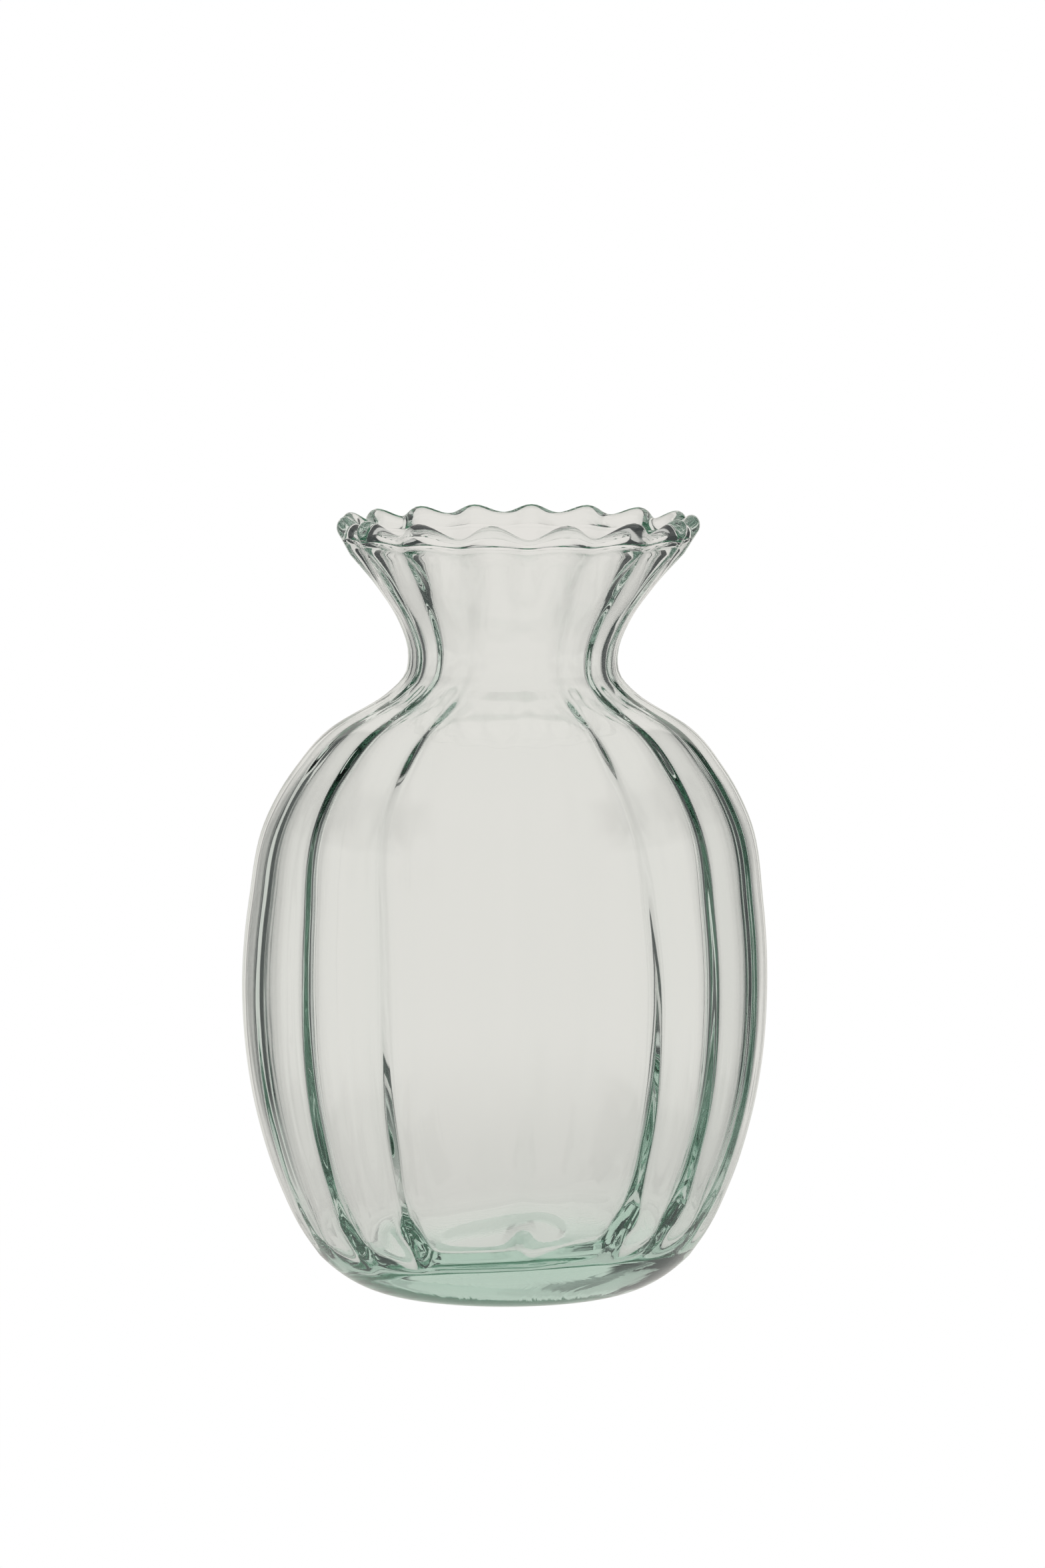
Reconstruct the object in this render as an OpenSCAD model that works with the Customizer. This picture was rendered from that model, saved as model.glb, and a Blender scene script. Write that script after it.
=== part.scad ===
// Pouch-shaped glass vase with soft optic ribs and a ruffled lip.
// One piece of blown glass, divided at its named zones: foot, body, shoulder, neck, mouth, lip.
// Lengths are millimetres, +Z is up, and the origin is the middle of the rest ring's plane.
// Turns are counted from the front (-Y) towards the right (+X).

/* [Foot] */
// Outer diameter of the flat ring that the vase rests on
rest_d = 47; // [44:1:60]
// Width of the flat rest ring
rest_w = 10; // [5:0.5:16]
// Height of the shallow hollow under the foot
punt_h = 1.5; // [0.5:0.1:3]
// Height of the solid foot, which is the thickness of the floor
foot_h = 9; // [6:0.5:14]
// Diameter of the foot at its top
foot_d = 87.6; // [76:0.2:94]

/* [Body] */
// Outer diameter at the belly
belly_d = 123; // [112:0.5:140]
// Height of the belly above the foot
belly_h = 60; // [50:1:75]
// Height of the body above the belly
upper_h = 43; // [34:1:60]
// Diameter of the flat middle of the floor inside
floor_d = 40; // [30:1:52]
// Height of the rounding between the floor and the wall inside
bowl_h = 5; // [4:0.5:9]
// Thickness of the wall between two ribs
wall_t = 3.5; // [2:0.1:5]

/* [Shoulder] */
// Outer diameter where the body turns into the shoulder
shoulder_d = 112.5; // [100:0.5:120]
// Height of the shoulder
shoulder_h = 28; // [22:1:36]

/* [Neck] */
// Outer diameter where the shoulder meets the neck
root_d = 59; // [56:0.2:68]
// Outer diameter at the waist of the neck
neck_d = 49; // [44:0.5:54]
// Height of the neck
neck_h = 17; // [13:0.5:24]

/* [Mouth] */
// Outer diameter where the neck opens into the mouth
throat_d = 53.8; // [50:0.2:58]
// Height of the flared mouth
mouth_h = 16; // [12:0.5:22]
// Outer diameter at the top of the flare, under the lip
flare_d = 78.8; // [68:0.2:84]
// Distance that the mouth leans to the right of the body
mouth_lean = 3.2; // [0:0.1:5]

/* [Lip] */
// Outer diameter across the lobes of the lip
lip_d = 85.6; // [81:0.2:100]
// Height of the lip above the flare, at a crest
lip_h = 9; // [8:0.1:12]
// Thickness of the rounded edge at a crest
edge_t = 4.2; // [3:0.1:5]
// Height of the rounded edge at a crest
edge_h = 5; // [4:0.1:6]
// Mean height of the ruffles, from a trough to a crest
wave_h = 2.6; // [0:0.1:3]
// Mean distance that a trough stands inside the crests beside it
wave_w = 2.3; // [0:0.1:3]

/* [Ribs] */
// Number of ribs, which is also the number of ruffles: each rib ends in a trough of the lip
rib_n = 16; // [12:1:18]
// Turn of the first rib from the front, in degrees
rib_turn = 3.5; // [-11:0.5:11]
// How far the ribs are drawn to the back from an even spacing, in degrees at each side
rib_crowd = 8; // [0:0.5:12]
// Mean depth of the outside groove at each rib
groove_t = 0.2; // [0:0.1:1.2]
// Mean height of the inside web at each rib
web_t = 1.3; // [0:0.1:2.4]

/* [Hidden] */
glass_tint = [0.80, 0.88, 0.84, 0.45];
base_tint = [0.62, 0.78, 0.70, 0.60];

// Facets between two ribs, of the foot's curves and of the lip's edge
rib_steps = 6;
curve_steps = 8;
lip_steps = 8;

// Levels where one zone ends and the next begins
belly_z = foot_h + belly_h;
shoulder_z = belly_z + upper_h;
root_z = shoulder_z + shoulder_h;
throat_z = root_z + neck_h;
flare_z = throat_z + mouth_h;
height = flare_z + lip_h;

// Lower body: how far up to the belly and how far out to it
low_z_shares = [0.08, 0.27, 0.55];
low_r_shares = [0.20, 0.51, 0.81];
// Upper body: how far up to the shoulder and how far in to it
high_z_share = 0.53;
high_r_share = 0.24;
// Shoulder: how far up to the neck and how far in to it
slope_z_shares = [0.39, 0.71];
slope_r_shares = [0.23, 0.52];
// Neck: how far up to the throat, and how far in from root and throat to the waist
root_z_share = 0.24;
root_r_share = 0.80;
waist_z_share = 0.53;
// Mouth: how far up and how far out to the flare's top
flare_z_share = 0.53;
flare_r_share = 0.46;
// Inside of the bowl at its top: how far out from the floor's edge to the wall
bowl_r_share = 0.72;

// Wall thickness at the steps from floor to lip, as shares of wall_t
low_wall_shares = [1.45, 1.12];
slope_wall_shares = [1.05, 1.25];
neck_wall_shares = [1.3, 1.05, 0.97];
flare_wall_shares = [0.95, 1];

// Depth of grooves and webs along the wall, as shares of groove_t and web_t
floor_rib_shares = [0, 0.7];
foot_rib_shares = [0.2, 2.3];
low_rib_shares = [0.5, 1.8];
body_rib_shares = [0.9, 1.4];
slope_rib_shares = [0.9, 1];
belly_rib_shares = [1, 1];
neck_rib_shares = [0.6, 0.7];
mouth_rib_shares = [0.9, 0.6];

// How narrow a rib is: 1 is a plain wave, more is a narrower crease
crease_power = 2;
wave_power = 1;
// How the lean grows upwards: 1 is a straight tilt, more keeps it nearer the top
lean_power = 1.4;
// How steeply the heel rises: 1 is a straight cone, more is rounder
heel_power = 2.3;
// How much stronger than the mean the ribs and ruffles are at the front, and weaker at the back
front_share = 0.33;
// How much thinner the rounded edge is at a trough, and how its foot and its top follow the ruffles
edge_thin_share = 0.3;
edge_mid_share = 0.58;
edge_top_share = 0.42;

function lerp(a, b, share) = a + (b - a) * share;

// A station is [z, outside radius, inside radius, outside groove, inside web, crease]
function station(z, out_r, wall, ribs, crease) =
    [z, out_r, out_r - wall, groove_t * ribs[0], web_t * ribs[1], crease];

bowl_z = foot_h + bowl_h;
bowl_out_r = lerp(foot_d, belly_d, low_r_shares[0]) / 2;
bowl_in_r = lerp(floor_d / 2, bowl_out_r, bowl_r_share);
low_z = [for (s = low_z_shares) lerp(foot_h, belly_z, s)];
low_r = [for (s = low_r_shares) lerp(foot_d, belly_d, s) / 2];
slope_z = [for (s = slope_z_shares) lerp(shoulder_z, root_z, s)];
slope_r = [for (s = slope_r_shares) lerp(shoulder_d, root_d, s) / 2];

// The wall from the foot's top to the lip, lowest station first
STATIONS = [
    [foot_h, foot_d / 2, floor_d / 2, groove_t * floor_rib_shares[0],
        web_t * floor_rib_shares[1], crease_power],
    [bowl_z, bowl_out_r, bowl_in_r, groove_t * foot_rib_shares[0],
        web_t * foot_rib_shares[1], crease_power],
    station(low_z[1], low_r[1], wall_t * low_wall_shares[0], low_rib_shares, crease_power),
    station(low_z[2], low_r[2], wall_t * low_wall_shares[1], body_rib_shares, crease_power),
    station(belly_z, belly_d / 2, wall_t, belly_rib_shares, crease_power),
    station(lerp(belly_z, shoulder_z, high_z_share),
        lerp(belly_d, shoulder_d, high_r_share) / 2, wall_t, belly_rib_shares, crease_power),
    station(shoulder_z, shoulder_d / 2, wall_t, belly_rib_shares, crease_power),
    station(slope_z[0], slope_r[0], wall_t * slope_wall_shares[0], belly_rib_shares, crease_power),
    station(slope_z[1], slope_r[1], wall_t * slope_wall_shares[1], slope_rib_shares, crease_power),
    station(root_z, root_d / 2, wall_t * neck_wall_shares[0], neck_rib_shares, crease_power),
    station(lerp(root_z, throat_z, root_z_share), lerp(root_d, neck_d, root_r_share) / 2,
        wall_t * neck_wall_shares[1], neck_rib_shares, crease_power),
    station(lerp(root_z, throat_z, waist_z_share), neck_d / 2,
        wall_t * neck_wall_shares[2], neck_rib_shares, crease_power),
    station(throat_z, throat_d / 2, wall_t * neck_wall_shares[2], neck_rib_shares, crease_power),
    station(lerp(throat_z, flare_z, flare_z_share), lerp(throat_d, flare_d, flare_r_share) / 2,
        wall_t * flare_wall_shares[0], mouth_rib_shares, wave_power),
    [flare_z, flare_d / 2, flare_d / 2 - wall_t * flare_wall_shares[1], wave_w, wave_w, wave_power]
];
// Steps between each station and the next
STEPS = [2, 1, 1, 2, 2, 1, 2, 2, 2, 2, 1, 2, 1, 2];
BODY_SPAN = [0, 6];
SHOULDER_SPAN = [6, 9];
NECK_SPAN = [9, 12];
MOUTH_SPAN = [12, 14];

// Slope of the smooth curve through the stations, as a change for each millimetre of height
function slope(i) =
    let (
        last = len(STATIONS) - 1,
        below = STATIONS[max(i - 1, 0)],
        here = STATIONS[i],
        above = STATIONS[min(i + 1, last)],
        rise_below = here[0] - below[0],
        rise_above = above[0] - here[0]
    )
    i == 0 ? (above - here) / rise_above
    : i == last ? (here - below) / rise_below
    : ((here - below) * rise_above / rise_below + (above - here) * rise_below / rise_above)
        / (rise_below + rise_above);

// Cross-section values at share u of the way from station i to the next
function between(i, u) =
    let (rise = STATIONS[i + 1][0] - STATIONS[i][0])
    STATIONS[i] * (2 * u * u * u - 3 * u * u + 1)
    + slope(i) * rise * (u * u * u - 2 * u * u + u)
    + STATIONS[i + 1] * (3 * u * u - 2 * u * u * u)
    + slope(i + 1) * rise * (u * u * u - u * u);

// All levels of one zone, lowest first
function levels(span) = concat(
    [for (i = [span[0] : span[1] - 1]) for (j = [0 : STEPS[i] - 1]) between(i, j / STEPS[i])],
    [STATIONS[span[1]]]
);

// A section point is [radius, z, inward move at a rib, downward move at a rib, crease]
function wall_section(span) =
    let (rows = levels(span), top = len(rows) - 1)
    concat(
        [for (row = rows) [row[1], row[0], row[3], 0, row[5]]],
        [for (j = [top : -1 : 0]) [rows[j][2], rows[j][0], rows[j][4], 0, rows[j][5]]]
    );

// The lip: a rounded edge on the top of the flare, from its outside foot over to its inside foot
edge_r = lip_d / 2 - edge_t / 2;
edge_z = height - edge_h / 2;
edge_turns = [-35, 240];
// Foot of the rounded edge: how far up from the flare to the edge's middle, and its thickness and ruffle
stem_z_share = 0.5;
stem_r_share = 1.5;
stem_wall_share = 0.9;
stem_wave_share = 0.25;
function lip_section() =
    let (
        flare = STATIONS[len(STATIONS) - 1],
        edge = [for (j = [0 : lip_steps])
            let (t = lerp(edge_turns[0], edge_turns[1], j / lip_steps))
            [edge_r + cos(t) * edge_t / 2, edge_z + sin(t) * edge_h / 2,
                wave_w + cos(t) * edge_thin_share * edge_t / 2,
                wave_h * (edge_mid_share + edge_top_share * sin(t)), wave_power]],
        stem_z = lerp(flare_z, edge_z, stem_z_share),
        stem_r = lerp(flare[1], edge_r, stem_r_share),
        stem = [stem_r, stem_z, wave_w, wave_h * stem_wave_share, wave_power],
        stem_in = [stem_r - wall_t * stem_wall_share, stem_z, wave_w, wave_h * stem_wave_share, wave_power]
    )
    concat([[flare[1], flare[0], flare[3], 0, flare[5]], stem], edge,
        [stem_in, [flare[2], flare[0], flare[4], 0, flare[5]]]);

// Share of a rib's mean move at a turn, counted as if the ribs were evenly spaced
function rib(turn, power) = pow((1 + cos(rib_n * (turn - rib_turn))) / 2, power);

// Where an evenly spaced turn really lies: wider apart at the front and closer at the back
function real_turn(turn) = turn + rib_crowd * sin(turn);

// The lean to the right at a level: none up to the belly, all at the top
function lean(z) = mouth_lean * pow(max(0, z - belly_z) / (height - belly_z), lean_power);

function place(s, turn) =
    let (
        at = real_turn(turn),
        share = rib(turn, s[4]) * (1 + front_share * cos(at)),
        r = s[0] - s[2] * share,
        z = s[1] - s[3] * share
    )
    [r * sin(at) + lean(s[1]), -r * cos(at), z];

// A closed ring of glass: one section carried once round the vase, with its ribs
module ribbed_ring(section) {
    around = rib_n * rib_steps;
    m = len(section);
    points = [for (k = [0 : around - 1]) for (s = section) place(s, rib_turn + k * 360 / around)];
    faces = [for (k = [0 : around - 1]) for (j = [0 : m - 1])
        let (
            a = k * m + j,
            b = k * m + (j + 1) % m,
            c = ((k + 1) % around) * m + (j + 1) % m,
            d = ((k + 1) % around) * m + j
        )
        each [[a, b, c], [a, c, d]]];
    polyhedron(points = points, faces = faces, convexity = 6);
}

// Solid foot: flat rest ring, rounded heel, and a shallow hollow underneath
module foot() {
    rest_r = rest_d / 2;
    punt_r = rest_r - rest_w;
    heel_w = foot_d / 2 - rest_r;
    heel = [for (j = [0 : curve_steps])
        let (s = j / curve_steps) [rest_r + heel_w * s, foot_h * pow(s, heel_power)]];
    punt = [for (j = [0 : curve_steps])
        let (s = j / curve_steps) [punt_r * s, punt_h * (1 - s * s)]];
    color(base_tint)
        rotate_extrude($fn = rib_n * rib_steps)
            polygon(concat(punt, heel, [[0, foot_h]]));
}

module body() {
    color(glass_tint) ribbed_ring(wall_section(BODY_SPAN));
}

module shoulder() {
    color(glass_tint) ribbed_ring(wall_section(SHOULDER_SPAN));
}

module neck() {
    color(glass_tint) ribbed_ring(wall_section(NECK_SPAN));
}

module mouth() {
    color(glass_tint) ribbed_ring(wall_section(MOUTH_SPAN));
}

module lip() {
    color(glass_tint) ribbed_ring(lip_section());
}

foot();
body();
shoulder();
neck();
mouth();
lip();
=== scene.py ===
"""A pouch-shaped glass vase with soft ribs and a ruffled lip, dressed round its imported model."""

import math

import bmesh
import bpy
from bpy.props import FloatProperty, FloatVectorProperty, IntProperty, PointerProperty
from bpy.types import Operator, Panel, PropertyGroup
from mathutils import Matrix, Vector


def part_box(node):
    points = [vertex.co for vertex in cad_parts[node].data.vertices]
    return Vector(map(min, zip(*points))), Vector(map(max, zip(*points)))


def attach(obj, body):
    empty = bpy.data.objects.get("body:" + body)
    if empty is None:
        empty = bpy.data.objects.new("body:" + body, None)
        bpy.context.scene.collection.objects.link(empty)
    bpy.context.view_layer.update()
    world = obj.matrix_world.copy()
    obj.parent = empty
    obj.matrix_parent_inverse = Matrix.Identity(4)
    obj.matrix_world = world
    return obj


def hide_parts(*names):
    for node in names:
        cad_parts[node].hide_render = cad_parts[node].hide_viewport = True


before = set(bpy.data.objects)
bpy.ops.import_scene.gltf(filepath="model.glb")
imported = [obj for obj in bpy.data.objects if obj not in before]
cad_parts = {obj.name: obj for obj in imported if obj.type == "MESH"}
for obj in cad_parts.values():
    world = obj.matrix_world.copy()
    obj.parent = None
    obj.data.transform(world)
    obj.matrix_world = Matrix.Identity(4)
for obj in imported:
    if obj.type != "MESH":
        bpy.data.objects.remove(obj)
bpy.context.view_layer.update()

bl_info = {
    "name": "Ruffled Glass Vase",
    "version": (1, 0, 0),
    "blender": (4, 5, 0),
    "location": "View3D > Sidebar > Vase",
    "description": "Builds a ribbed glass vase with a ruffled lip and its studio",
    "category": "Object",
}

ZONES = ["foot", "body", "shoulder", "neck", "mouth", "lip"]
MM = 0.001


def zone_top(name):
    """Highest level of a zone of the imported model."""
    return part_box(name)[1][2]


def zone_radius(name):
    """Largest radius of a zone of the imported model, measured across Y, where nothing leans."""
    low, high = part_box(name)
    return (high[1] - low[1]) / 2


# Turn of each rib from the front towards the right, in degrees: on the body, where the shoulder meets the
# neck, and at its trough in the lip
BODY_TURNS = (8, 40, 57.5, 77, 98, 118, 140, 161, 184, 206, 226, 243, 261, 286, 307, 329)
SHOULDER_TURNS = (5, 35, 56, 77, 98, 118, 140, 161, 184, 206, 226, 243, 261, 284, 301, 322.5)
LIP_TURNS = (4, 28.5, 53.5, 78.5, 101, 124, 146, 166, 185, 205, 225, 246, 267, 289, 313, 338.5)
# Strength of each rib on the body
RIB_SHARES = (0.6, 1.12, 0.93, 0.78, 0.5, 0.5, 0.6, 0.6, 0.5, 0.6, 0.5, 0.4, 0.4, 0.36, 0.88, 1.27)
RIB_COUNT = len(BODY_TURNS)
RIB_TURN = 360 / RIB_COUNT
# How much stronger than the mean the ruffles are at the front, and how strongly mesh columns crowd to a rib
FRONT_SHARE = 0.33
CROWD_SHARE = 0.5

# How far up the body the belly lies, and how much of the heel's thick glass goes on above the foot
BELLY_SHARE = 0.583
HEEL_TOP = 5 * MM
# Radii of the neck's waist and of its throat, as shares of the radius where the shoulder meets the neck
WAIST_SHARE = 0.831
THROAT_SHARE = 0.912
# How steeply the heel rises, and how the lean grows upwards: 1 is straight, more is rounder
HEEL_POWER = 2.3
LEAN_POWER = 1.4

# The lip's stem: where its points lie on the way up, how much faster they flare than they climb, and how
# thick its wall is, as a share of the vase's own
STEM_SHARES = (0.25, 0.5)
STEM_FLARE = 3
LIP_WALL_SHARE = 0.9
# The lip's edge: its arc, how much thicker it is at a crest, and how its middle and top follow the ruffles
EDGE_FROM, EDGE_TO = math.radians(-35), math.radians(240)
EDGE_THICK_SHARE = 0.3
EDGE_MID_SHARE = 0.58
EDGE_TOP_SHARE = 0.42
# The rounding inside, from the floor to the wall, is this part of a circle
BOWL_TURN = math.radians(60)

# Mesh rows: their height on the wall, their number on each rounded stretch, and their places on the rest ring
STEP = 2.0 * MM
PUNT_ROWS = 9
HEEL_ROWS = 16
EDGE_ROWS = 26
BOWL_ROWS = 8
FLOOR_ROWS = 10
REST_SHARES = (0.06, 0.5, 0.94)
# Points nearer to each other, or to the axis, than this are one point
TINY = 1e-6

# The streaks in the wall: how many, how fast they change upwards, and how fine they are
STREAK_SCALE = 9
STREAK_CLIMB = 5
STREAK_DETAIL = 2

# How often light may turn on its way through the glass, and pass the clear parts of the dome and the table
BOUNCES = 40
CLEAR_BOUNCES = 16
# Mesh segments round the dome and round the table
DOME_SEGMENTS = 48
TABLE_SEGMENTS = 96


class VaseGlassSizes(PropertyGroup):
    """Sizes and colours of the glass."""

    columns: IntProperty(name="Columns in a rib", description="Mesh columns between two ribs",
                         default=16, min=8)
    wall: FloatProperty(name="Wall", description="Thickness of the wall between two ribs",
                        default=3.5 * MM, unit="LENGTH")
    groove: FloatProperty(name="Groove", description="Depth of the outside groove at each rib",
                          default=0.2 * MM, unit="LENGTH")
    web: FloatProperty(name="Web", description="Height of the inside web at each rib",
                       default=1.3 * MM, unit="LENGTH")
    edge: FloatProperty(name="Edge", description="Thickness of the lip's rounded edge at a crest",
                        default=4.2 * MM, unit="LENGTH")
    edge_tall: FloatProperty(name="Edge height", description="Height of the lip's rounded edge at a crest",
                             default=5.0 * MM, unit="LENGTH")
    wave_down: FloatProperty(name="Ruffle height", description="Mean height from a trough to a crest",
                             default=2.6 * MM, unit="LENGTH")
    wave_in: FloatProperty(name="Ruffle depth", description="Mean distance of a trough inside the crests",
                           default=2.3 * MM, unit="LENGTH")
    rest_radius: FloatProperty(name="Rest ring", description="Outer radius of the flat rest ring",
                               default=23.5 * MM, unit="LENGTH")
    rest_width: FloatProperty(name="Rest width", description="Width of the flat rest ring",
                              default=10.0 * MM, unit="LENGTH")
    punt: FloatProperty(name="Hollow", description="Height of the hollow under the foot",
                        default=1.5 * MM, unit="LENGTH")
    floor_radius: FloatProperty(name="Floor", description="Radius of the floor inside, without its rounding",
                                default=32.0 * MM, unit="LENGTH")
    floor_rise: FloatProperty(name="Floor rise", description="Height of the floor inside over the foot",
                              default=4.0 * MM, unit="LENGTH")
    floor_dome: FloatProperty(name="Floor dome", description="Height of the floor's middle over its edge",
                              default=2.0 * MM, unit="LENGTH")
    bowl: FloatProperty(name="Bowl", description="Height of the rounding from the floor to the wall",
                        default=4.0 * MM, unit="LENGTH")
    floor_tilt: FloatProperty(name="Floor tilt", description="Rise of the floor inside towards the right",
                              default=math.radians(3.5), subtype="ANGLE")
    lean: FloatProperty(name="Lean", description="Distance that the mouth leans to the right",
                        default=3.2 * MM, unit="LENGTH")
    tint: FloatVectorProperty(name="Tint", description="Colour that long ways through the glass take",
                              default=(0.40, 0.69, 0.565), subtype="COLOR", size=3)
    tint_density: FloatProperty(name="Tint strength", description="Absorption for each metre of glass",
                                default=10.5)
    ior: FloatProperty(name="Refraction", description="Refractive index of soda-lime glass", default=1.51)
    striae: FloatProperty(name="Striae", description="Depth of the faint streaks in the blown wall",
                          default=0.03 * MM, unit="LENGTH")


class VaseStageSizes(PropertyGroup):
    """Camera, light and backdrop."""

    distance: FloatProperty(name="Distance", description="Level distance from the camera to the vase",
                            default=1.75, unit="LENGTH")
    height: FloatProperty(name="Height", description="Height of the camera over the floor",
                          default=0.293, unit="LENGTH")
    aim: FloatProperty(name="Aim", description="Height of the point that the camera aims at",
                       default=0.119, unit="LENGTH")
    aside: FloatProperty(name="Aside", description="Distance of the camera's aim to the right of the vase",
                         default=0.0042, unit="LENGTH")
    lens: FloatProperty(name="Lens", description="Focal length", default=173.0, unit="CAMERA")
    far: FloatProperty(name="Far limit", description="How far the camera sees", default=50.0, unit="LENGTH")
    white: FloatProperty(name="Backdrop", description="Brightness of the backdrop itself", default=1.0)
    through: FloatVectorProperty(name="Behind glass", description="Backdrop as the glass shows it",
                                 default=(0.80, 0.778, 0.742), subtype="COLOR", size=3)
    # The table's painted shade: at the vase's foot the table glows this share of the backdrop as glass shows
    # it
    table: FloatProperty(name="Table", description="Brightness of the table at the vase's foot, as a share",
                         default=0.84)
    table_width: FloatProperty(name="Table width", description="Half the width of the lit table top",
                               default=0.19, unit="LENGTH")
    table_depth: FloatProperty(name="Table depth", description="Half the depth of the lit table top",
                               default=0.45, unit="LENGTH")
    table_gap: FloatProperty(name="Table gap", description="Clearance of the table top under the vase",
                             default=0.2 * MM, unit="LENGTH")
    dark: FloatVectorProperty(name="Dark side", description="The black screens beside the backdrop",
                              default=(0.055, 0.06, 0.06), subtype="COLOR", size=3)
    dark_edge: FloatProperty(name="Dark edge", description="Angle beside the aim where the screens start",
                             default=math.radians(27), subtype="ANGLE")
    dark_end: FloatProperty(name="Dark end", description="Angle beside the aim where the screens end",
                            default=math.radians(67), subtype="ANGLE")
    dark_soft: FloatProperty(name="Dark softness", description="Width of the screens' edge at the backdrop",
                             default=math.radians(4), subtype="ANGLE")
    dark_top: FloatProperty(name="Dark top", description="Angle over the aim where the screens end",
                            default=math.radians(40), subtype="ANGLE")
    panel_top: FloatProperty(name="Panel top", description="Angle over the aim where the lit side panels end",
                             default=math.radians(22), subtype="ANGLE")
    panel_foot: FloatProperty(name="Panel foot", description="Angle over the aim where the side panels start",
                              default=math.radians(-22), subtype="ANGLE")
    room_start: FloatProperty(name="Room start", description="Angle beside the aim where the room appears",
                              default=math.radians(118), subtype="ANGLE")
    room_full: FloatProperty(name="Room full", description="Angle beside the aim where the room is brightest",
                             default=math.radians(138), subtype="ANGLE")
    dome: FloatProperty(name="Dome", description="Radius of the dome that carries screens, panels and room",
                        default=3.0, unit="LENGTH")
    room: FloatVectorProperty(name="Room", description="The room beside and behind the camera",
                              default=(0.58, 0.57, 0.55), subtype="COLOR", size=3)


def lerp(a, b, share):
    """The value at a share of the way from a to b."""
    return a + (b - a) * share


def smooth(share):
    """A share that starts and ends gently."""
    share = min(max(share, 0.0), 1.0)
    return share * share * (3 - 2 * share)


def wall_stations(sizes):
    """The wall from the foot's top to the lip.

    Each station is level, outside radius, inside radius, groove, web, crease and share of the floor's tilt.
    A row places it by shares of the way between the zones' own sizes, and gives its wall, groove and web as
    shares of the vase's own.
    """
    foot_z, shoulder_z = zone_top("foot"), zone_top("body")
    root_z, throat_z, flare_z = zone_top("shoulder"), zone_top("neck"), zone_top("mouth")
    belly_z = lerp(foot_z, shoulder_z, BELLY_SHARE)
    foot_r, belly_r, shoulder_r = zone_radius("foot"), zone_radius("body"), zone_radius("shoulder")
    root_r, flare_r = zone_radius("neck"), zone_radius("mouth")
    neck_r, throat_r = root_r * WAIST_SHARE, root_r * THROAT_SHARE
    rows = [
        (foot_z, foot_r, 2.1, 0.0, 0.3),
        (foot_z + HEEL_TOP, lerp(foot_r, belly_r, 0.2), 1.8, 0.2, 2.6),
        (lerp(foot_z, belly_z, 0.27), lerp(foot_r, belly_r, 0.51), 1.45, 0.5, 1.3),
        (lerp(foot_z, belly_z, 0.55), lerp(foot_r, belly_r, 0.81), 1.12, 0.9, 1.5),
        (belly_z, belly_r, 1.0, 1.0, 1.28),
        (lerp(belly_z, shoulder_z, 0.53), lerp(belly_r, shoulder_r, 0.24), 1.0, 1.0, 1.17),
        (shoulder_z, shoulder_r, 1.0, 1.0, 1.01),
        (lerp(shoulder_z, root_z, 0.39), lerp(shoulder_r, root_r, 0.23), 1.05, 1.0, 1.08),
        (lerp(shoulder_z, root_z, 0.71), lerp(shoulder_r, root_r, 0.52), 1.25, 0.9, 1.15),
        (root_z, root_r, 1.3, 0.7, 0.55),
        (lerp(root_z, throat_z, 0.24), lerp(root_r, neck_r, 0.8), 1.05, 0.7, 0.4),
        (lerp(root_z, throat_z, 0.53), neck_r, 0.97, 0.7, 0.35),
        (throat_z, throat_r, 0.97, 0.7, 0.45),
        (lerp(throat_z, flare_z, 0.53), lerp(throat_r, flare_r, 0.46), 0.95, 0.9, 0.7),
        (flare_z, flare_r, 1.0, sizes.wave_in / sizes.groove, sizes.wave_in / sizes.web),
    ]
    creases = [1, 1, 1.5] + [2] * 10 + [1] * 2
    tilts = [1, 1, 0.7, 0.25] + [0] * 11
    return [Vector((z, r, r - wall * sizes.wall, groove * sizes.groove, web * sizes.web, crease, tilt))
            for (z, r, wall, groove, web), crease, tilt in zip(rows, creases, tilts)]


def slope(stations, i):
    """Change of the wall's values for each metre of height, smooth through station i."""
    below, here = stations[max(i - 1, 0)], stations[i]
    above = stations[min(i + 1, len(stations) - 1)]
    if i == 0:
        return (above - here) / (above[0] - here[0])
    if i == len(stations) - 1:
        return (here - below) / (here[0] - below[0])
    low, high = here[0] - below[0], above[0] - here[0]
    return ((here - below) * (high / low) + (above - here) * (low / high)) / (low + high)


def wall_row(stations, i, u):
    """The wall's values at share u of the way from station i to the next."""
    here, above = stations[i], stations[i + 1]
    rise = above[0] - here[0]
    return (here * (2 * u ** 3 - 3 * u ** 2 + 1) + slope(stations, i) * (rise * (u ** 3 - 2 * u ** 2 + u))
            + above * (3 * u ** 2 - 2 * u ** 3) + slope(stations, i + 1) * (rise * (u ** 3 - u ** 2)))


def lip_points(sizes, flare):
    """The lip from the top of the flare outside, over its rounded edge, to the flare inside."""
    half, half_tall = sizes.edge / 2, sizes.edge_tall / 2
    edge_r = zone_radius("lip") - half
    edge_z = zone_top("lip") - half_tall
    stems = []
    for share in STEM_SHARES:
        r, z = lerp(flare[1], edge_r, share * STEM_FLARE), lerp(flare[0], edge_z, share)
        stems.append((r, z, sizes.wave_in, sizes.wave_down * share / 2, 1, 0))
    points = list(stems)
    for k in range(EDGE_ROWS + 1):
        turn = lerp(EDGE_FROM, EDGE_TO, k / EDGE_ROWS)
        out, up = math.cos(turn), math.sin(turn)
        points.append((edge_r + out * half, edge_z + up * half_tall,
                       sizes.wave_in + EDGE_THICK_SHARE * out * half,
                       sizes.wave_down * (EDGE_MID_SHARE + EDGE_TOP_SHARE * up), 1, 0))
    return points + [(stem[0] - sizes.wall * LIP_WALL_SHARE, *stem[1:]) for stem in reversed(stems)]


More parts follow.
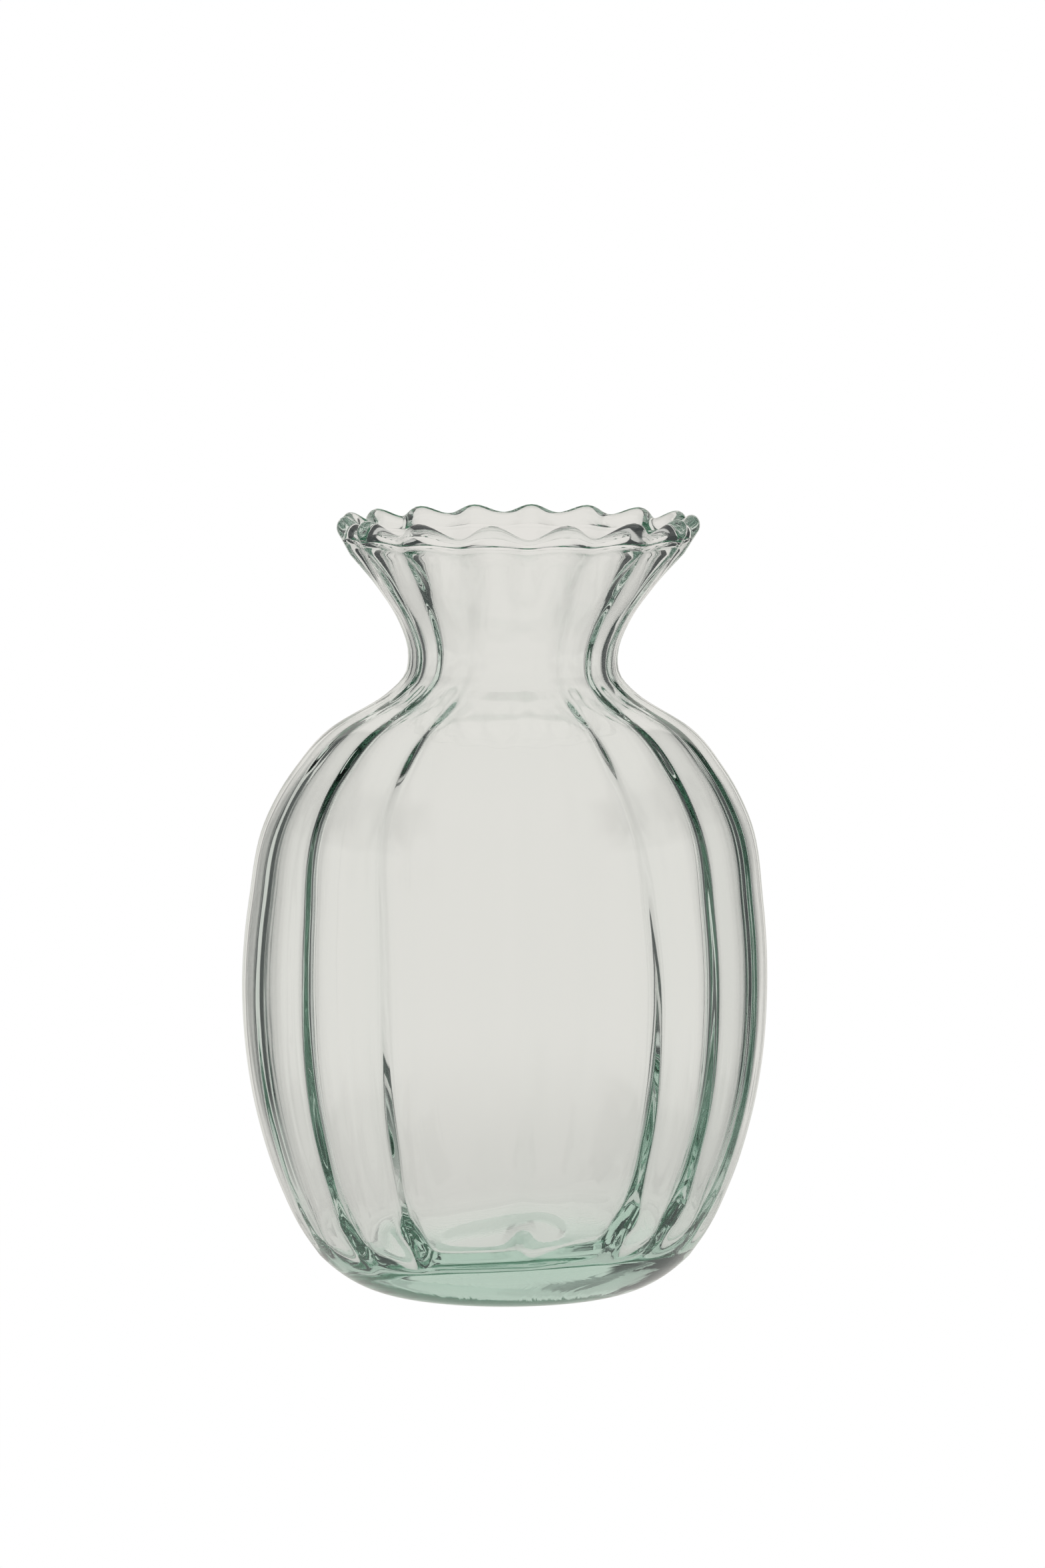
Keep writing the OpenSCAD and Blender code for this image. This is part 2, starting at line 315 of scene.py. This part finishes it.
def bowl_points(sizes, top, floor_z):
    """The rounding inside from the wall down to the edge of the floor, with the feet of the webs."""
    points = []
    for k in range(BOWL_ROWS + 1):
        turn = BOWL_TURN * (1 - k / BOWL_ROWS)
        out = math.sin(turn) / math.sin(BOWL_TURN)
        up = (1 - math.cos(turn)) / (1 - math.cos(BOWL_TURN))
        r, z = lerp(sizes.floor_radius, top[2], out), lerp(floor_z, top[0], up)
        points.append((r, z, top[4] * out, 0, top[5], 1))
    return points


def section(sizes):
    """The glass's half section, from the axis under the foot, over the lip and down to the axis inside.

    Each point is radius, level, move inwards at a rib, move downwards at a rib, crease of the rib and
    share of the floor's tilt.
    """
    stations = wall_stations(sizes)
    rows = []
    for i in range(len(stations) - 1):
        rise, spread = (stations[i + 1] - stations[i])[:2]
        steps = max(2, round(math.hypot(rise, spread) / STEP))
        rows += [wall_row(stations, i, k / steps) for k in range(steps)]
    rows.append(stations[-1])
    foot_z, foot_r = stations[0][0], stations[0][1]
    punt_r = sizes.rest_radius - sizes.rest_width
    points = [(punt_r * k / PUNT_ROWS, sizes.punt * (1 - (k / PUNT_ROWS) ** 2), 0, 0, 1, 0)
              for k in range(PUNT_ROWS + 1)]
    points += [(lerp(punt_r, sizes.rest_radius, share), 0, 0, 0, 1, 0) for share in REST_SHARES]
    for k in range(HEEL_ROWS):
        share = k / HEEL_ROWS
        points.append((lerp(sizes.rest_radius, foot_r, share), foot_z * share ** HEEL_POWER, 0, 0, 1, 0))
    points += [(row[1], row[0], row[3], 0, row[5], 0) for row in rows]
    points += lip_points(sizes, stations[-1])
    floor_z = foot_z + sizes.floor_rise
    top = next(row for row in rows if row[0] >= floor_z + sizes.bowl)
    points += [(row[2], row[0], row[4], 0, row[5], row[6]) for row in reversed(rows) if row[0] > top[0]]
    points += bowl_points(sizes, top, floor_z)
    for k in range(1, FLOOR_ROWS + 1):
        out = 1 - k / FLOOR_ROWS
        points.append((sizes.floor_radius * out, floor_z + sizes.floor_dome * (1 - out ** 2), 0, 0, 1, 1))
    return points


def drawn_turn(turns, k, u):
    """The turn at share u of the way from rib k to the next, in degrees: ribs are drawn apart as the turns
    list them.
    """
    start, end = turns[k], turns[(k + 1) % RIB_COUNT]
    return lerp(start, end + (360 if end < start else 0), u)


def rib_wave(turn, crease):
    """Share of a rib's full move at a turn from its middle, in degrees."""
    return ((1 + math.cos(math.radians(turn) * RIB_COUNT)) / 2) ** crease


def rib_place(turn, crease, shoulder, lip):
    """The real turn of a mesh column, and its share of a rib's move with the rib's own strength.

    Shoulder and lip are shares of the way up to them. On the body every rib is as wide as the next. At the
    lip the ruffles fill the whole way between them.
    """
    whole = turn / RIB_TURN
    k, u = int(whole) % RIB_COUNT, whole % 1
    start, here, end = (lerp(drawn_turn(BODY_TURNS, k, share), drawn_turn(SHOULDER_TURNS, k, share), shoulder)
                        for share in (0, u, 1))
    at = math.radians(lerp(here, drawn_turn(LIP_TURNS, k, u), lip))
    wave = lerp(rib_wave(min(here - start, end - here, RIB_TURN / 2), crease), rib_wave(turn, crease), lip)
    force = RIB_SHARES[k if u < 0.5 else (k + 1) % RIB_COUNT]
    return at, wave * lerp(force, 1 + FRONT_SHARE * math.cos(at), lip)


def glass_mesh(sizes):
    """The whole vessel as one closed skin: its half section spun once round, then ribbed."""
    mesh = bmesh.new()
    layers = [mesh.verts.layers.float.new(name) for name in ("in", "down", "crease", "tilt")]
    profile = []
    for point in section(sizes):
        vert = mesh.verts.new((0, -point[0], point[1]))
        for layer, value in zip(layers, point[2:]):
            vert[layer] = value
        profile.append(vert)
    edges = [mesh.edges.new(pair) for pair in zip(profile, profile[1:])]
    columns = RIB_COUNT * sizes.columns
    bmesh.ops.spin(mesh, geom=profile + edges, cent=(0, 0, 0), axis=(0, 0, 1), dvec=(0, 0, 0),
                   angle=math.tau, steps=columns, use_merge=True, use_duplicate=False,
                   use_normal_flip=False, space=Matrix.Identity(4))
    bmesh.ops.remove_doubles(mesh, verts=mesh.verts[:], dist=TINY)
    shoulder_z, root_z, lip_z = zone_top("body"), zone_top("shoulder"), zone_top("lip")
    belly_z = lerp(zone_top("foot"), shoulder_z, BELLY_SHARE)
    for vert in mesh.verts:
        move_in, move_down, crease, tilt = (vert[layer] for layer in layers)
        r = math.hypot(vert.co.x, vert.co.y)
        if r < TINY:
            continue
        turn = math.degrees(math.atan2(vert.co.x, -vert.co.y)) % 360
        crowd = CROWD_SHARE * math.sin(math.radians(turn) * RIB_COUNT) / RIB_COUNT
        turn = (turn - math.degrees(crowd)) % 360
        up_shoulder = smooth((vert.co.z - belly_z) / (root_z - belly_z))
        up_lip = smooth((vert.co.z - shoulder_z) / (lip_z - shoulder_z))
        at, share = rib_place(turn, crease, up_shoulder, up_lip)
        r -= move_in * share
        lean = sizes.lean * max(0, (vert.co.z - belly_z) / (lip_z - belly_z)) ** LEAN_POWER
        z = vert.co.z - move_down * share
        z += tilt * r * math.sin(at) * math.tan(sizes.floor_tilt)
        vert.co = (r * math.sin(at) + lean, -r * math.cos(at), z)
    bmesh.ops.recalc_face_normals(mesh, faces=mesh.faces[:])
    return mesh


def add_piece(name, mesh):
    """Makes a finished mesh an object of the scene, smooth, at the origin."""
    data = bpy.data.meshes.new(name)
    for face in mesh.faces:
        face.smooth = True
    mesh.to_mesh(data)
    mesh.free()
    piece = bpy.data.objects.new(name, data)
    bpy.context.scene.collection.objects.link(piece)
    return piece


def striae(nodes, links, sizes):
    """Faint streaks drawn out along the wall, as a normal: many round the vase, changing slowly upwards."""
    place = nodes.new("ShaderNodeTexCoord")
    across = nodes.new("ShaderNodeVectorMath")
    across.operation = "MULTIPLY"
    across.inputs[1].default_value = (1, 1, 0)
    links.new(place.outputs["Object"], across.inputs[0])
    round_part = nodes.new("ShaderNodeVectorMath")
    round_part.operation = "NORMALIZE"
    links.new(across.outputs["Vector"], round_part.inputs[0])
    both = nodes.new("ShaderNodeVectorMath")
    both.operation = "MULTIPLY_ADD"
    both.inputs[1].default_value = (0, 0, STREAK_CLIMB)
    links.new(place.outputs["Object"], both.inputs[0])
    links.new(round_part.outputs["Vector"], both.inputs[2])
    streaks = nodes.new("ShaderNodeTexNoise")
    streaks.inputs["Scale"].default_value = STREAK_SCALE
    streaks.inputs["Detail"].default_value = STREAK_DETAIL
    links.new(both.outputs["Vector"], streaks.inputs["Vector"])
    bump = nodes.new("ShaderNodeBump")
    bump.inputs["Strength"].default_value = 1
    bump.inputs["Distance"].default_value = sizes.striae
    links.new(streaks.outputs["Fac"], bump.inputs["Height"])
    return bump.outputs["Normal"]


def glass_material(sizes):
    """Clear glass, tinted sea green by the depth that light goes through."""
    made = bpy.data.materials.new("sea_green_glass")
    made.use_nodes = True
    nodes, links = made.node_tree.nodes, made.node_tree.links
    shader = nodes["Principled BSDF"]
    shader.inputs["Base Color"].default_value = (1, 1, 1, 1)
    shader.inputs["Roughness"].default_value = 0.0
    shader.inputs["IOR"].default_value = sizes.ior
    shader.inputs["Transmission Weight"].default_value = 1.0
    tint = nodes.new("ShaderNodeVolumeAbsorption")
    tint.inputs["Color"].default_value = (*sizes.tint, 1)
    tint.inputs["Density"].default_value = sizes.tint_density
    links.new(tint.outputs["Volume"], nodes["Material Output"].inputs["Volume"])
    links.new(striae(nodes, links, sizes), shader.inputs["Normal"])
    return made


class VASE_OT_glass(Operator):
    """Blow the vase: one skin of ribbed glass from foot to ruffled lip"""

    bl_idname = "vase.glass"
    bl_label = "Glass Vessel"

    def execute(self, context):
        sizes = context.scene.vase_glass
        piece = add_piece("vase_glass", glass_mesh(sizes))
        piece.data.materials.append(glass_material(sizes))
        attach(piece, "root")
        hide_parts(*ZONES)
        return {"FINISHED"}


def tent_world(stage):
    """A white light tent: white to the camera, and a shade darker through glass."""
    world = bpy.data.worlds.new("light_tent")
    world.use_nodes = True
    nodes, links = world.node_tree.nodes, world.node_tree.links
    back = nodes["Background"]
    path = nodes.new("ShaderNodeLightPath")
    glass = nodes.new("ShaderNodeMix")
    glass.data_type = "RGBA"
    glass.inputs["A"].default_value = (*stage.through, 1)
    glass.inputs["B"].default_value = (stage.white, stage.white, stage.white, 1)
    links.new(path.outputs["Is Camera Ray"], glass.inputs["Factor"])
    links.new(glass.outputs["Result"], back.inputs["Color"])
    bpy.context.scene.world = world


def maths(nodes, links, operation, first, second=0.0):
    """A Math node's result on two values, each a socket or a number."""
    made = nodes.new("ShaderNodeMath")
    made.operation = operation
    for socket, value in zip(made.inputs, (first, second)):
        if isinstance(value, (int, float)):
            socket.default_value = value
        else:
            links.new(value, socket)
    return made.outputs[0]


def ramp(nodes, links, value, start, end):
    """A share that rises gently from 0 at start to 1 at end."""
    made = nodes.new("ShaderNodeMapRange")
    made.interpolation_type = "SMOOTHSTEP"
    made.inputs["From Min"].default_value = start
    made.inputs["From Max"].default_value = end
    links.new(value, made.inputs["Value"])
    return made.outputs["Result"]


def dark_side(stage, camera):
    """A dome that only the glass sees: black screens beside the backdrop, lit panels and the room behind."""
    mesh = bmesh.new()
    bmesh.ops.create_uvsphere(mesh, u_segments=DOME_SEGMENTS, v_segments=DOME_SEGMENTS // 2,
                              radius=stage.dome)
    dome = add_piece("studio_dome", mesh)
    dome.parent = camera
    reach = math.hypot(stage.distance, stage.height - stage.aim)
    dome.location = (0, 0, -reach)
    dome.visible_camera = dome.visible_diffuse = dome.visible_shadow = False
    made = bpy.data.materials.new("studio_dome")
    made.use_nodes = True
    nodes, links = made.node_tree.nodes, made.node_tree.links
    nodes.remove(nodes["Principled BSDF"])
    place = nodes.new("ShaderNodeTexCoord")
    split = nodes.new("ShaderNodeSeparateXYZ")
    links.new(place.outputs["Object"], split.inputs[0])
    ahead = maths(nodes, links, "MULTIPLY", split.outputs["Z"], -1)
    aside = maths(nodes, links, "ABSOLUTE", split.outputs["X"])
    turn = maths(nodes, links, "ARCTAN2", aside, ahead)
    soft = stage.dark_soft
    sides = ramp(nodes, links, turn, stage.dark_edge - soft / 2, stage.dark_edge + soft / 2)
    beside = ramp(nodes, links, turn, stage.dark_end - soft / 2, stage.dark_end + soft * 3 / 2)
    behind = ramp(nodes, links, turn, stage.room_start, stage.room_full)
    up = maths(nodes, links, "DIVIDE", split.outputs["Y"], stage.dome)
    under_top = ramp(nodes, links, up, math.sin(stage.panel_top), math.sin(stage.panel_top - soft))
    over_foot = ramp(nodes, links, up, math.sin(stage.panel_foot - soft), math.sin(stage.panel_foot))
    panel = maths(nodes, links, "MULTIPLY", beside, maths(nodes, links, "MULTIPLY", under_top, over_foot))
    over = ramp(nodes, links, up, math.sin(stage.dark_top), math.sin(stage.dark_top + 2 * soft))
    light = maths(nodes, links, "MAXIMUM", maths(nodes, links, "MAXIMUM", panel, behind), over)
    shade = nodes.new("ShaderNodeMix")
    shade.data_type = "RGBA"
    shade.inputs["A"].default_value = (*stage.dark, 1)
    shade.inputs["B"].default_value = (*stage.room, 1)
    links.new(light, shade.inputs["Factor"])
    glow = nodes.new("ShaderNodeEmission")
    links.new(shade.outputs["Result"], glow.inputs["Color"])
    clear = nodes.new("ShaderNodeBsdfTransparent")
    mix = nodes.new("ShaderNodeMixShader")
    links.new(sides, mix.inputs["Fac"])
    links.new(clear.outputs[0], mix.inputs[1])
    links.new(glow.outputs[0], mix.inputs[2])
    links.new(mix.outputs[0], nodes["Material Output"].inputs["Surface"])
    dome.data.materials.append(made)


def pale_floor(stage):
    """A pale table top that glows, white to the camera. Where glass shows it, it glows darker than the
    backdrop, a painted shade round the vase's foot, and fades out towards its rim.
    """
    mesh = bmesh.new()
    bmesh.ops.create_circle(mesh, cap_ends=True, segments=TABLE_SEGMENTS, radius=stage.table_depth)
    bmesh.ops.scale(mesh, verts=mesh.verts[:], vec=(stage.table_width / stage.table_depth, 1, 1))
    bmesh.ops.translate(mesh, verts=mesh.verts[:], vec=(0, 0, -stage.table_gap))
    floor = add_piece("table_top", mesh)
    made = bpy.data.materials.new("table_painted_shade")
    made.use_nodes = True
    nodes, links = made.node_tree.nodes, made.node_tree.links
    nodes.remove(nodes["Principled BSDF"])
    place = nodes.new("ShaderNodeTexCoord")
    wide = nodes.new("ShaderNodeVectorMath")
    wide.operation = "MULTIPLY"
    wide.inputs[1].default_value = (stage.table_depth / stage.table_width, 1, 1)
    links.new(place.outputs["Object"], wide.inputs[0])
    far = nodes.new("ShaderNodeVectorMath")
    far.operation = "LENGTH"
    links.new(wide.outputs["Vector"], far.inputs[0])
    # Painted shade round the vase's foot: near it the table glows darker than the backdrop, and towards its
    # rim it fades to clear
    painted_shade_fade = ramp(nodes, links, far.outputs["Value"], zone_radius("foot"), stage.table_depth)
    path = nodes.new("ShaderNodeLightPath")
    painted_shade_or_white = nodes.new("ShaderNodeMix")
    painted_shade_or_white.data_type = "RGBA"
    # The painted shade's colour through glass: the backdrop as glass shows it, darkened by the table's share
    painted_shade_or_white.inputs["A"].default_value = (*(value * stage.table for value in stage.through), 1)
    painted_shade_or_white.inputs["B"].default_value = (stage.white, stage.white, stage.white, 1)
    links.new(path.outputs["Is Camera Ray"], painted_shade_or_white.inputs["Factor"])
    glow = nodes.new("ShaderNodeEmission")
    links.new(painted_shade_or_white.outputs["Result"], glow.inputs["Color"])
    clear = nodes.new("ShaderNodeBsdfTransparent")
    mix = nodes.new("ShaderNodeMixShader")
    links.new(painted_shade_fade, mix.inputs["Fac"])
    links.new(glow.outputs[0], mix.inputs[1])
    links.new(clear.outputs[0], mix.inputs[2])
    links.new(mix.outputs[0], nodes["Material Output"].inputs["Surface"])
    floor.data.materials.append(made)


class VASE_OT_stage(Operator):
    """Set the stage: camera, white tent, pale table, and the screens and room that the glass shows"""

    bl_idname = "vase.stage"
    bl_label = "Stage"

    def execute(self, context):
        stage = context.scene.vase_stage
        camera = bpy.data.objects.new("camera", bpy.data.cameras.new("camera"))
        context.scene.collection.objects.link(camera)
        camera.data.lens = stage.lens
        camera.data.clip_end = stage.far
        camera.location = (stage.aside, -stage.distance, stage.height)
        aim = Vector((stage.aside, 0, stage.aim)) - camera.location
        camera.rotation_euler = aim.to_track_quat("-Z", "Y").to_euler()
        context.scene.camera = camera
        context.view_layer.update()
        tent_world(stage)
        dark_side(stage, camera)
        pale_floor(stage)
        scene = context.scene
        scene.view_settings.view_transform = "Standard"
        scene.cycles.max_bounces = BOUNCES
        scene.cycles.transmission_bounces = BOUNCES
        scene.cycles.glossy_bounces = BOUNCES
        scene.cycles.transparent_max_bounces = CLEAR_BOUNCES
        return {"FINISHED"}


class VASE_PT_sidebar(Panel):
    """The vase's sizes and its operators"""

    bl_idname = "VASE_PT_sidebar"
    bl_label = "Glass Vase"
    bl_space_type = "VIEW_3D"
    bl_region_type = "UI"
    bl_category = "Vase"

    def draw(self, context):
        for group in (context.scene.vase_glass, context.scene.vase_stage):
            box = self.layout.box()
            for name in group.__annotations__:
                box.prop(group, name)
        for operator in OPERATORS:
            self.layout.operator(operator.bl_idname)


OPERATORS = (VASE_OT_glass, VASE_OT_stage)
CLASSES = (VaseGlassSizes, VaseStageSizes, *OPERATORS, VASE_PT_sidebar)


def register():
    for made in CLASSES:
        bpy.utils.register_class(made)
    bpy.types.Scene.vase_glass = PointerProperty(type=VaseGlassSizes)
    bpy.types.Scene.vase_stage = PointerProperty(type=VaseStageSizes)


def unregister():
    del bpy.types.Scene.vase_glass
    del bpy.types.Scene.vase_stage
    for made in reversed(CLASSES):
        bpy.utils.unregister_class(made)


def main():
    """Builds the vase and its stage."""
    register()
    bpy.ops.vase.glass()
    bpy.ops.vase.stage()


if __name__ == "__main__":
    main()
